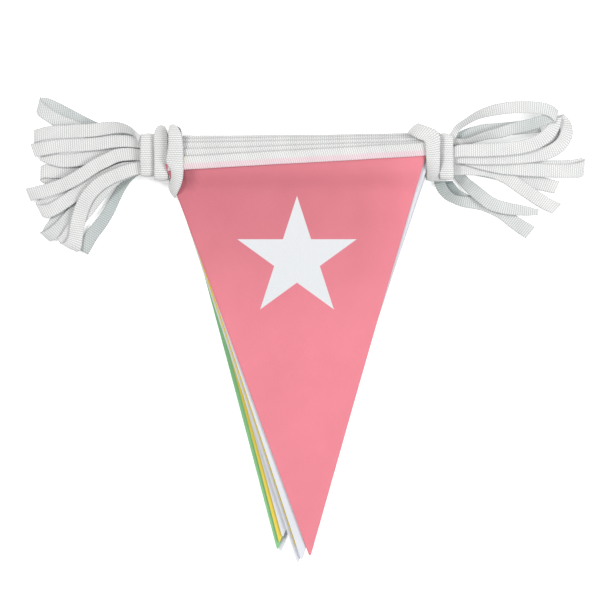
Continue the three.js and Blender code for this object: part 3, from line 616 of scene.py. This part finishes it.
# %% Right loops
RIGHT_LOOPS = [
    [
        [105.2, 117.4, 13.3, 11.8, 0, 90, 0, 8.6],
        [110.4, 118.2, 13.5, 12, 0, 96, 4, 7.6],
        [114.6, 123.2, 14.2, 11.6, -5.4, 116, 8, 6.2],
        [117.8, 128.6, 14.8, 11.6, -12.4, 127, 40, 6],
        [124.4, 133.4, 14.9, 11.4, -14.6, 120, 50, 7],
        [133.6, 138.5, 14.8, 10.9, -16.4, 112, 44, 8],
        [146.2, 142.3, 14.4, 10.4, -17.2, 103, 28, 9],
        [159, 144.2, 13.8, 10.2, -15.6, 95, 12, 9],
        [172.5, 144.4, 13.2, 10.4, -13, 88, 4, 9.2],
        [185, 142.8, 12.8, 10.8, -8, 80, 0, 9.2],
        [192.6, 138.6, 12.7, 10.6, -3, 71, 0, 8.8],
    ],
    [
        [105.2, 117.4, 7.5, 6, 0, 90, 0, 8.6],
        [112, 117.8, 7.5, 6, 0, 92, 0, 8.6],
        [118, 120.6, 7.4, 5.9, 0, 100, 0, 9],
        [127.5, 124.4, 7.1, 5.7, 0, 104, 0, 10],
        [138.8, 126.9, 6.8, 5.4, 0, 101, 0, 10],
        [150, 128, 6.6, 5.2, 0, 98, 0, 10],
        [165, 129.4, 6.4, 4.9, 0, 97, 0, 10],
        [180, 130.8, 6.5, 4.4, 0, 97, 0, 10],
    ],
    [
        [105.2, 107.6, 16.2, 14.7, 0, 90, 0, 8.6],
        [111, 108.4, 16.2, 14.7, 0, 90, 0, 8.6],
        [117, 111.2, 16.2, 14.7, 0, 90, 0, 8.8],
        [135, 112.2, 15, 13.5, 0, 90, 0, 10],
        [150, 112.9, 13.6, 12.1, 0, 92, 0, 10],
        [165, 114.6, 12, 10.6, 0, 98, 0, 10],
        [176.2, 117.8, 10.8, 9.4, 0, 112, 0, 10],
        [184.5, 122.8, 9.8, 8.4, 0, 131, 0, 10],
        [189.8, 129.4, 9.2, 7.9, 0, 158, 0, 9.6],
        [192, 137, 9.4, 7.3, 0, 174, 0, 9.2],
    ],
    [
        [105.2, 107.6, 13.3, 11.8, 0, 90, 0, 8.6],
        [112, 107.4, 13.3, 11.8, 0, 90, 0, 8.6],
        [118, 107, 13.1, 11.6, 0, 90, 0, 9],
        [130, 106.6, 12.3, 10.8, 0, 90, 0, 10],
        [142.5, 106.5, 11.3, 9.9, 0, 90, 0, 10],
        [155, 106.8, 10.3, 8.9, 1.5, 90, 0, 10],
        [168, 107.6, 8.8, 7.4, 4, 92, 0, 10],
        [180, 109.2, 7.6, 6.1, 6, 98, 2, 10],
        [189.8, 112.4, 6.8, 5.1, 7, 113, 5, 10],
        [196.6, 117.8, 6, 4, 7.5, 132, 8, 10],
        [200, 124.8, 5.6, 3.5, 7.5, 157, 8, 10],
        [199, 131.6, 5.2, 3.3, 6, 180, 5, 10],
        [194, 138, 5.3, 2.8, 2, 200, 0, 10],
    ],
    [
        [105.2, 107.6, 10.4, 8.9, 0, 90, 0, 8.6],
        [112, 107.4, 10.3, 8.9, 0, 90, 0, 8.6],
        [118, 106.8, 10.1, 8.7, 0, 88, 0, 8.6],
        [126, 105.3, 9.8, 8.4, 0, 84, 0, 9],
        [135, 103.1, 9.1, 7.7, 0, 83, 0, 10],
        [150, 99.8, 7.9, 6.5, 0, 84, 0, 10],
        [161, 98.7, 7.3, 5.9, 0.4, 86, 0, 10],
        [172.5, 97.9, 6.6, 5.2, 1, 87, 0, 10],
        [195, 96.9, 5.5, 4.1, 3, 88, 0, 10],
        [205, 97.2, 4.6, 2.8, 3, 85, 0, 11],
        [213.4, 98.2, 3.8, 1.3, 3, 83, 0, 12],
    ],
    [
        [105.2, 97.8, 7.5, 6, 0, 90, 0, 8.6],
        [112, 97.8, 7.4, 6, 0, 89, 0, 8.6],
        [116.5, 97.8, 6.7, 5.3, 0, 89, 0, 8],
        [121, 98.2, 5.4, 4, 0, 89, 0, 7],
        [124.5, 98.6, 4.5, 3.2, 0, 88, 0, 7],
        [130, 98.4, 3.4, 2.1, 0, 86, 0, 8.8],
        [138, 97.4, 2.8, 1.5, 0, 82, 0, 10],
        [150, 95, 2.4, 1.1, 0, 80, 0, 10],
        [165, 91.2, 2.2, 0.8, 0, 77, 0, 10],
        [180, 87.8, 2.2, 0.8, 0, 72, 0, 10],
        [193, 84.7, 2.9, 0.8, 0, 66, 0, 10],
    ],
    [
        [105.2, 97.8, 10.4, 8.9, 0, 90, 0, 8.6],
        [112, 97.8, 10.4, 8.9, 0, 90, 0, 8.6],
        [116.5, 97.6, 9.6, 8.2, 0, 90, 0, 8.2],
        [121, 97.5, 8, 6.6, 0, 89, 0, 7.4],
        [124.5, 97.7, 6.9, 5.6, 0, 88, 0, 7.4],
        [131, 98.3, 6.1, 4.8, 0, 86, 0, 9.2],
        [143, 97, 5.5, 4.2, 0, 77, 0, 10],
        [153.6, 93.2, 5, 3.7, 0, 63, 0, 10],
        [162.6, 87.2, 4.6, 3.3, 0, 55, 0, 10],
        [173.4, 79.8, 4.7, 3.4, 0, 55, 0, 10],
        [184, 73, 3.8, 2.1, 0, 53, 0, 10],
        [193.2, 68.6, 3, 1, 0, 48, 0, 10],
    ],
    [
        [105.2, 97.8, 4.6, 3.1, 0, 90, 0, 8.6],
        [111.5, 97.8, 4.5, 3.1, 0, 88, 0, 8.6],
        [116, 96.6, 3.8, 2.4, 0, 78, 0, 8.2],
        [121, 91.8, 2.2, 0.8, 0, 54, 0, 8],
        [124.8, 87.8, 2.4, 0.9, 0, 48, 0, 8.6],
        [129.4, 83.6, 5.4, 4, 0, 47, 0, 9.6],
        [135.8, 78, 7.6, 6.2, 0, 48, 0, 10],
        [144, 72.2, 7, 5.6, 0, 58, 0, 10],
        [153.8, 69.2, 6.2, 4.8, 0, 76, 0, 9.4],
        [165, 67.6, 5, 3.6, 0, 84, 0, 8],
        [173, 66.6, 3.8, 2.4, 0, 86, 0, 6.4],
        [179, 66, 3.1, 1, 0, 86, 0, 4.8],
    ],
    [
        [104.8, 89.2, 5.6, 5.6, 5.6, 0, 34, 9.6],
        [105.4, 87, 5.6, 5.6, 5.6, 8, 34, 9.6],
        [107.8, 82.4, 5.4, 5.4, 5.8, 20, 36, 9.6],
        [111.6, 78.2, 5.2, 5.2, 5.4, 38, 46, 9.6],
        [116, 75.8, 4.9, 4.7, 4.6, 60, 50, 9.2],
        [121.8, 74.2, 4.6, 3.2, 2.6, 78, 30, 8.8],
        [129, 73, 2.9, 1.1, 1, 84, 6, 8.4],
        [137, 71.8, 2.2, 0.8, 0.4, 78, 0, 9],
        [145, 69.2, 2.1, 0.7, 0, 66, 0, 10],
        [152.4, 65.4, 2.1, 0.7, 0, 57, 0, 10],
        [161, 58.6, 2.1, 0.7, 0, 52, 0, 10],
        [173, 50.8, 2.8, 0.9, 0, 51, 0, 11],
    ],
]
print("right loops:", len(RIGHT_LOOPS))

# %% Nineteen loops
LOOP_STEPS = 8
# How deep a loop lies in shade, from its upper root by way of its fold to its lower root
LOOP_TONES = {
    "left_loop_1": (0, 0, 0, 0.05, 0.15, 0.35, 0.4, 0.5, 0.5),
    "left_loop_8": (0.1, 0.1, 0.15, 0.3, 0.3),
    "left_loop_10": (0.55, 0.5, 0.4, 0.5, 0.5),
    "right_loop_1": (0, 0, 0, 0, 0.1, 0.4, 0.05, 0, 0),
    "right_loop_2": (1, 0.4, 0.2, 0.2, 0.2, 0.3, 0.4, 0.6, 1),
    "right_loop_8": (0.4, 0.14, 0.12, 0.2),
    "right_loop_9": (0.6, 0.35, 0.15, 0.15, 0.15, 0.15, 0.2, 0.4, 0.7),
}
USUAL_TONES = (0, 0, 0.15)

loop_rows = {f"left_loop_{n}": rows for n, rows in enumerate(LEFT_LOOPS, 1)}
loop_rows |= {f"right_loop_{n}": rows for n, rows in enumerate(RIGHT_LOOPS, 1)}
for seed, (name, rows) in enumerate(loop_rows.items()):
    tones = LOOP_TONES.get(name, USUAL_TONES)
    sections = loop_sections(rows)
    piece, length = ribbon_piece("spare_" + name, sections, LOOP_STEPS, seed * 1.7, tones=tones)
    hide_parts(name)
    tape_pieces.append(piece)
    print(name, round(length), "mm of tape")

# %% [markdown]
# ## Ties
# Each neck is held by turns of the same tape. A turn is close to a squared ring, because the tape
# pulls flat over the stack and bends sharply at its sides. On the left, two tight turns are
# followed by a slack one over the band. On the right, one turn is followed by a fold that stands up
# like a flap above the band's top edge.

# %% Turns of a tie
# Where a ring stands along the band, its south and north sides, its lowest and highest place, how
# far it peaks on the north side, how far it slips outwards there, and its width
RINGS = {
    "left_outer": (-113.9, 92.6, 124.6, 0.6, 17.4, 0, 0, 11),
    "left_inner": (-104.0, 89.6, 125.6, 0.6, 20.6, 5, 0, 10.4),
    "right": (109.4, 90.2, 124.6, 0.6, 20.4, 0, 3.7, 10.4),
}
RING_SQUARENESS = 6
PEAK_SHARPNESS = 6
RING_STEPS = 20
RING_START, LEFT_TURN_END, RIGHT_TURN_END = -58, 246, 240
# Rows of the loose ends: the tape's centre, the turn of its width and the width that shows
LEFT_SLACK = [
    [-95.6, 116, 0.6, 0, 9.6],
    [-93.6, 124, 0.6, 0, 9],
    [-93.2, 129.2, 4, 0, 7],
    [-94.8, 131.2, 13, 0, 4.5],
    [-94.6, 130.2, 23, 0, 5.8],
    [-93.6, 124.6, 27.6, 0, 9.6],
    [-93, 114, 27.2, 0, 11.2],
    [-93.6, 103, 26.4, -4, 13.4],
    [-92, 96, 24.8, -12, 9.8],
    [-92.7, 89.6, 21.8, -32, 9.2],
    [-95.1, 84, 17, -48, 9.6],
    [-96.6, 79.8, 9, -60, 9.4],
    [-95.8, 84.2, 2.2, -56, 9.6],
    [-94.2, 90, 0.6, -40, 9.4],
]

RIGHT_FLAP = [
    [93.4, 112, 0.6, 14, 9.6],
    [88.6, 122, 0.6, 34, 9.6],
    [85.4, 128.4, 4, 42, 10],
    [84.2, 129.4, 13, 42, 10.6],
    [85, 128.4, 22, 42, 11.2],
    [90.4, 125.2, 27.4, 53, 11.4],
    [98, 121, 27.8, 32, 12.8],
    [98.8, 112, 27.2, 10, 11],
    [99, 104, 26.2, 2, 10.2],
    [99.3, 97, 22.2, 0, 9.6],
    [99.4, 91, 14.6, 0, 9.6],
    [99.4, 89.4, 6.6, 0, 9.6],
    [99.4, 92.4, 0.8, 0, 9.6],
]


def squared_off(value):
    """Turns the cosine or sine of a circle into that of a squared ring."""
    return math.copysign(abs(value) ** (2 / RING_SQUARENESS), value)


def ring_sections(name, end):
    """One turn, from its bottom round the north side, over the top and down the south side."""
    x, south, north, low, high, peak, slip, wide = RINGS[name]
    middle_y, reach_y = (north + south) / 2, (north - south) / 2
    middle_z, reach_z = (high + low) / 2, (high - low) / 2
    out = []
    for step in range(RING_STEPS + 1):
        angle = math.radians(RING_START + (end - RING_START) * step / RING_STEPS)
        y = middle_y + reach_y * squared_off(math.cos(angle))
        z = middle_z + reach_z * squared_off(math.sin(angle))
        northness = max(0, math.cos(angle)) ** PEAK_SHARPNESS
        peaked, slipped = peak * northness, slip * northness
        centre = np.array((x - slipped / 2, y + peaked, z))
        out.append((centre, width_direction(0), wide - peaked - slipped))
    return out


def end_sections(rows):
    """The loose end of a tie, from its table."""
    return [(np.array(row[:3], float), width_direction(row[3]), row[4]) for row in rows]


# %% Two ties
TIE_STEPS = 6
FIRST_TIE_SEED = 60
PULLED_TAPE = dict(rock=0.3, cup=1.0, stray=0.8)

left_turns = ring_sections("left_outer", LEFT_TURN_END) + ring_sections("left_inner", LEFT_TURN_END)
ties = {
    "left_tie": left_turns + end_sections(LEFT_SLACK),
    "right_tie": ring_sections("right", RIGHT_TURN_END) + end_sections(RIGHT_FLAP),
}
for seed, (name, sections) in enumerate(ties.items(), FIRST_TIE_SEED):
    piece, length = ribbon_piece("knotted_" + name, sections, TIE_STEPS, seed * 1.3, **PULLED_TAPE)
    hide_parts(name)
    tape_pieces.append(piece)
    print(name, round(length), "mm of tape")

# %% [markdown]
# ## Surfaces
# Two weaves are seen. The tape is a ribbed cotton weave, and its ribs run across it about a
# millimetre and a half apart. The flags are a fine plain cotton, printed, with a thread about every
# third of a millimetre. Each weave is a node group that gives a height for the bump and a shade for
# the colour, so all pieces share it.


# %% Node helpers
def put(tree, kind, inputs=None, **settings):
    """Adds a node, sets its properties and links or sets its inputs."""
    node = tree.nodes.new(kind)
    for key, value in settings.items():
        setattr(node, key, value)
    for socket, value in (inputs or {}).items():
        if isinstance(value, bpy.types.NodeSocket):
            tree.links.new(value, node.inputs[socket])
        else:
            node.inputs[socket].default_value = value
    return node


def sums(tree, operation, *values):
    """One step of arithmetic on sockets or plain numbers."""
    return put(tree, "ShaderNodeMath", dict(enumerate(values)), operation=operation).outputs[0]


def shared_group(name, takes, gives):
    """An empty node group with the named inputs and outputs."""
    tree = bpy.data.node_groups.new(name, "ShaderNodeTree")
    for label, kind in takes.items():
        tree.interface.new_socket(label, in_out="INPUT", socket_type=kind)
    for label in gives:
        tree.interface.new_socket(label, in_out="OUTPUT", socket_type="NodeSocketFloat")
    return tree, tree.nodes.new("NodeGroupInput"), tree.nodes.new("NodeGroupOutput")


# %% Ribbed weave of the tape
PLACE_IN = {"Place": "NodeSocketVector"}
WEAVE_OUT = ("Height", "Shade")
RIB_PITCH = 0.0016
THREAD_PITCH = 0.0009
SLUB = 0.35
CROSSING = 0.18
RIB_BASE = 0.74
BLOTCH, BLOTCH_BASE = 1.2, 0.65
HALF_WIDTH = 0.005
SELVEDGE_START = 0.0042
SELVEDGE_SHADE = 0.45

rib_weave, taken, given = shared_group("rib_weave", PLACE_IN, WEAVE_OUT)
spot = taken.outputs["Place"]
split = put(rib_weave, "ShaderNodeSeparateXYZ", {0: spot})
slub = put(rib_weave, "ShaderNodeTexNoise", {"Vector": spot, "Scale": 900.0, "Detail": 2.0})
along = sums(rib_weave, "DIVIDE", split.outputs["X"], RIB_PITCH)
along = sums(rib_weave, "ADD", along, sums(rib_weave, "MULTIPLY", slub.outputs["Fac"], SLUB))
across = sums(rib_weave, "DIVIDE", split.outputs["Y"], THREAD_PITCH)
half_turns = sums(rib_weave, "MULTIPLY", along, math.pi)
rib = sums(rib_weave, "ABSOLUTE", sums(rib_weave, "SINE", half_turns))
whole_turns = sums(rib_weave, "MULTIPLY", sums(rib_weave, "FLOOR", along), math.pi)
parity = sums(rib_weave, "COSINE", whole_turns)
thread = sums(rib_weave, "SINE", sums(rib_weave, "MULTIPLY", across, math.pi))
crossing = sums(rib_weave, "MULTIPLY", sums(rib_weave, "MULTIPLY", thread, parity), CROSSING)
height = sums(rib_weave, "MULTIPLY", rib, sums(rib_weave, "ADD", crossing, RIB_BASE))
blotch = put(rib_weave, "ShaderNodeTexNoise", {"Vector": spot, "Scale": 60.0, "Detail": 3.0})
uneven = sums(rib_weave, "MULTIPLY_ADD", blotch.outputs["Fac"], BLOTCH, BLOTCH_BASE)
shade = sums(rib_weave, "MULTIPLY", height, uneven)
past_middle = sums(rib_weave, "SUBTRACT", split.outputs["Y"], HALF_WIDTH)
off_middle = sums(rib_weave, "ABSOLUTE", past_middle)
span = {"From Min": SELVEDGE_START, "From Max": HALF_WIDTH, "To Max": SELVEDGE_SHADE}
selvedge = put(rib_weave, "ShaderNodeMapRange", {"Value": off_middle, **span})
shade = sums(rib_weave, "SUBTRACT", shade, selvedge.outputs["Result"])
rib_weave.links.new(height, given.inputs["Height"])
rib_weave.links.new(shade, given.inputs["Shade"])
print("ribs in a centimetre:", round(0.01 / RIB_PITCH, 1))

# %% Fine weave of the flags
CLOTH_THREAD = 0.00035
HAZE_RELIEF = 0.4
GRAIN = 0.35

fine_weave, taken, given = shared_group("fine_weave", PLACE_IN, WEAVE_OUT)
split = put(fine_weave, "ShaderNodeSeparateXYZ", {0: taken.outputs["Place"]})
waves = []
for axis in ("X", "Y"):
    turns = sums(fine_weave, "MULTIPLY", split.outputs[axis], math.pi / CLOTH_THREAD)
    waves.append(sums(fine_weave, "SINE", turns))
knit = sums(fine_weave, "MULTIPLY", waves[0], waves[1])
spot = taken.outputs["Place"]
haze = put(fine_weave, "ShaderNodeTexNoise", {"Vector": spot, "Scale": 35.0, "Detail": 4.0})
grain = put(fine_weave, "ShaderNodeTexNoise", {"Vector": spot, "Scale": 1400.0, "Detail": 1.0})
grains = sums(fine_weave, "MULTIPLY", grain.outputs["Fac"], GRAIN)
mottle = sums(fine_weave, "ADD", haze.outputs["Fac"], grains)
billow = sums(fine_weave, "MULTIPLY", haze.outputs["Fac"], HAZE_RELIEF)
height = sums(fine_weave, "ADD", knit, billow)
fine_weave.links.new(height, given.inputs["Height"])
fine_weave.links.new(mottle, given.inputs["Shade"])
print("threads in a centimetre:", round(0.01 / CLOTH_THREAD, 1))

# %% [markdown]
# ## The printed star
# The front flag has a white print in its upper half. A five-pointed star is five equal wedges, so
# the angle round the centre is folded into one half wedge. There the star's edge is one straight
# line, and the distance to that line tells printed from plain.

# %% Star mask
STAR_CENTRE = (-0.00225, 0.031)
STAR_REACH = 0.047
STAR_WAIST = STAR_REACH * math.sin(math.radians(18)) / math.sin(math.radians(54))
STAR_SOFTNESS = 0.0002
HALF_WEDGE = math.radians(36)

star_mask, taken, given = shared_group("star_mask", PLACE_IN, ("Mask",))
split = put(star_mask, "ShaderNodeSeparateXYZ", {0: taken.outputs["Place"]})
east = sums(star_mask, "SUBTRACT", split.outputs["X"], STAR_CENTRE[0])
north = sums(star_mask, "SUBTRACT", split.outputs["Y"], STAR_CENTRE[1])
turned = sums(star_mask, "ARCTAN2", east, north)
wedge = sums(star_mask, "PINGPONG", turned, HALF_WEDGE)
east_squared = sums(star_mask, "MULTIPLY", east, east)
north_squared = sums(star_mask, "MULTIPLY", north, north)
reach = sums(star_mask, "SQRT", sums(star_mask, "ADD", east_squared, north_squared))
outward = sums(star_mask, "MULTIPLY", reach, sums(star_mask, "COSINE", wedge))
sideways = sums(star_mask, "MULTIPLY", reach, sums(star_mask, "SINE", wedge))
waist_out, waist_side = STAR_WAIST * math.cos(HALF_WEDGE), STAR_WAIST * math.sin(HALF_WEDGE)
run_out, run_side = STAR_REACH - waist_out, waist_side
edge_length = math.hypot(run_out, run_side)
from_point = sums(star_mask, "SUBTRACT", outward, STAR_REACH)
past_out = sums(star_mask, "MULTIPLY", from_point, run_side / edge_length)
past_side = sums(star_mask, "MULTIPLY", sideways, run_out / edge_length)
past = sums(star_mask, "ADD", past_out, past_side)
span = {"From Min": -STAR_SOFTNESS, "From Max": STAR_SOFTNESS, "To Min": 1.0, "To Max": 0.0}
mask = put(
    star_mask, "ShaderNodeMapRange", {"Value": past, **span}, interpolation_type="SMOOTHSTEP"
)
star_mask.links.new(mask.outputs["Result"], given.inputs["Mask"])
print("star reaches", STAR_REACH / MM, "mm, waist", round(STAR_WAIST / MM, 1), "mm")

# %% [markdown]
# ## Paints
# A cloth's colour runs from a deep one between the threads to a light one on top of them, and the
# weave's shade picks the place between the two. The tone of each place then multiplies a shade over
# it. A Bump node lifts the threads. The flags read Object coordinates, since they lie flat, and the
# tape reads its UV map, since its ribs have to follow every fold.


# %% Woven paint
THREAD_STRENGTH = 0.6
CLOTH_GLOSS = 0.25


def blended(tree, factor, low, high, way="MIX"):
    """Colour between two colours or sockets."""
    mix = put(tree, "ShaderNodeMix", {"Factor": factor}, data_type="RGBA", blend_type=way)
    for socket, value in ((mix.inputs[6], low), (mix.inputs[7], high)):
        if isinstance(value, bpy.types.NodeSocket):
            tree.links.new(value, socket)
        else:
            socket.default_value = (*value, 1)
    return mix.outputs[2]


def woven_paint(name, weave, deep, light, in_shade, bump, roughness):
    """Principled cloth whose colour runs from deep to light with the weave."""
    paint = bpy.data.materials.new(name)
    paint.use_nodes = True
    tree = paint.node_tree
    shader = tree.nodes["Principled BSDF"]
    if weave == rib_weave:
        place = put(tree, "ShaderNodeUVMap", uv_map="weave").outputs["UV"]
    else:
        place = put(tree, "ShaderNodeTexCoord").outputs["Object"]
    pattern = put(tree, "ShaderNodeGroup", {}, node_tree=weave)
    tree.links.new(place, pattern.inputs["Place"])
    colour = blended(tree, pattern.outputs["Shade"], deep, light)
    tone = put(tree, "ShaderNodeAttribute", attribute_name="tone")
    colour = blended(tree, tone.outputs["Fac"], colour, in_shade, "MULTIPLY")
    threads = {"Height": pattern.outputs["Height"], "Distance": bump, "Strength": THREAD_STRENGTH}
    relief = put(tree, "ShaderNodeBump", threads)
    tree.links.new(colour, shader.inputs["Base Color"])
    tree.links.new(relief.outputs["Normal"], shader.inputs["Normal"])
    shader.inputs["Roughness"].default_value = roughness
    shader.inputs["Specular IOR Level"].default_value = CLOTH_GLOSS
    return paint, tree, shader, place, colour


# %% Flag paints
CLOTH_SHADE = (0.36, 0.36, 0.36)
CLOTH_BUMP = 0.0001
CLOTH_ROUGHNESS = 0.8
PRINT_WHITE = (0.66, 0.68, 0.70)
CLOTH_COLOURS = {
    "pink": ((0.66, 0.19, 0.235), (0.75, 0.23, 0.28)),
    "white": ((0.62, 0.64, 0.69), (0.70, 0.72, 0.77)),
    "yellow": ((0.70, 0.54, 0.068), (0.77, 0.60, 0.088)),
    "green": ((0.20, 0.46, 0.21), (0.25, 0.54, 0.26)),
}
cloth_paints = {}
for cloth, (deep, light) in CLOTH_COLOURS.items():
    paint, tree, shader, place, colour = woven_paint(
        cloth + "_cotton", fine_weave, deep, light, CLOTH_SHADE, CLOTH_BUMP, CLOTH_ROUGHNESS
    )
    if cloth == "pink":
        star = put(tree, "ShaderNodeGroup", {}, node_tree=star_mask)
        tree.links.new(place, star.inputs["Place"])
        printed = blended(tree, star.outputs["Mask"], colour, PRINT_WHITE)
        tree.links.new(printed, shader.inputs["Base Color"])
    cloth_paints[cloth] = paint
print("flag paints:", sorted(cloth_paints))

# %% Tape paints
TAPE_DEEP, TAPE_LIGHT = (0.42, 0.43, 0.43), (0.74, 0.745, 0.735)
TAPE_SHADE = (0.36, 0.48, 0.48)
TAPE_BUMP = 0.00014
TAPE_ROUGHNESS = 0.95
# The front stretch lets the pink seam show through its weave, and has one faint stain
SEAM_TINT, SEAM_DEPTH = (0.74, 0.36, 0.46), 0.34
SEAM_EDGE = (0.0038, 0.0050)
STAIN_TINT, STAIN_DEPTH = (0.60, 0.50, 0.36), 0.35
STAIN_PLACE = (0.014, 0.0083, 0.0)
STAIN_EDGE = (0.0015, 0.0042)


def tape_weave(name):
    """Ribbed cotton with the looks that every stretch of the tape shares."""
    looks = (TAPE_DEEP, TAPE_LIGHT, TAPE_SHADE, TAPE_BUMP, TAPE_ROUGHNESS)
    return woven_paint(name, rib_weave, *looks)


def fading(tree, value, edge, depth):
    """A mask that falls from its depth to nothing while the value goes from edge to edge."""
    span = {"From Min": edge[0], "From Max": edge[1], "To Min": depth, "To Max": 0.0}
    return put(tree, "ShaderNodeMapRange", {"Value": value, **span}).outputs["Result"]


tape_paint = tape_weave("cotton_tape")[0]
front_paint, tree, shader, place, colour = tape_weave("front_tape")
split = put(tree, "ShaderNodeSeparateXYZ", {0: place})
from_stain = put(tree, "ShaderNodeVectorMath", {0: place, 1: STAIN_PLACE}, operation="DISTANCE")
seam = fading(tree, split.outputs["Y"], SEAM_EDGE, SEAM_DEPTH)
stain = fading(tree, from_stain.outputs["Value"], STAIN_EDGE, STAIN_DEPTH)
colour = blended(tree, seam, colour, SEAM_TINT)
colour = blended(tree, stain, colour, STAIN_TINT)
tree.links.new(colour, shader.inputs["Base Color"])

# %% Paint every piece
for flag, piece in zip(FLAGS, flag_pieces):
    piece.data.materials.append(cloth_paints[flag["cloth"]])
for piece in tape_pieces:
    piece.data.materials.append(front_paint if piece.name == "sewn_tape_1" else tape_paint)
print("painted pieces:", len(flag_pieces) + len(tape_pieces))

# %% [markdown]
# ## Hand over
# Every piece is a part of the one bundle, so all of them ride its root.

# %% Ride the root
for piece in flag_pieces + tape_pieces:
    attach(piece, "root")
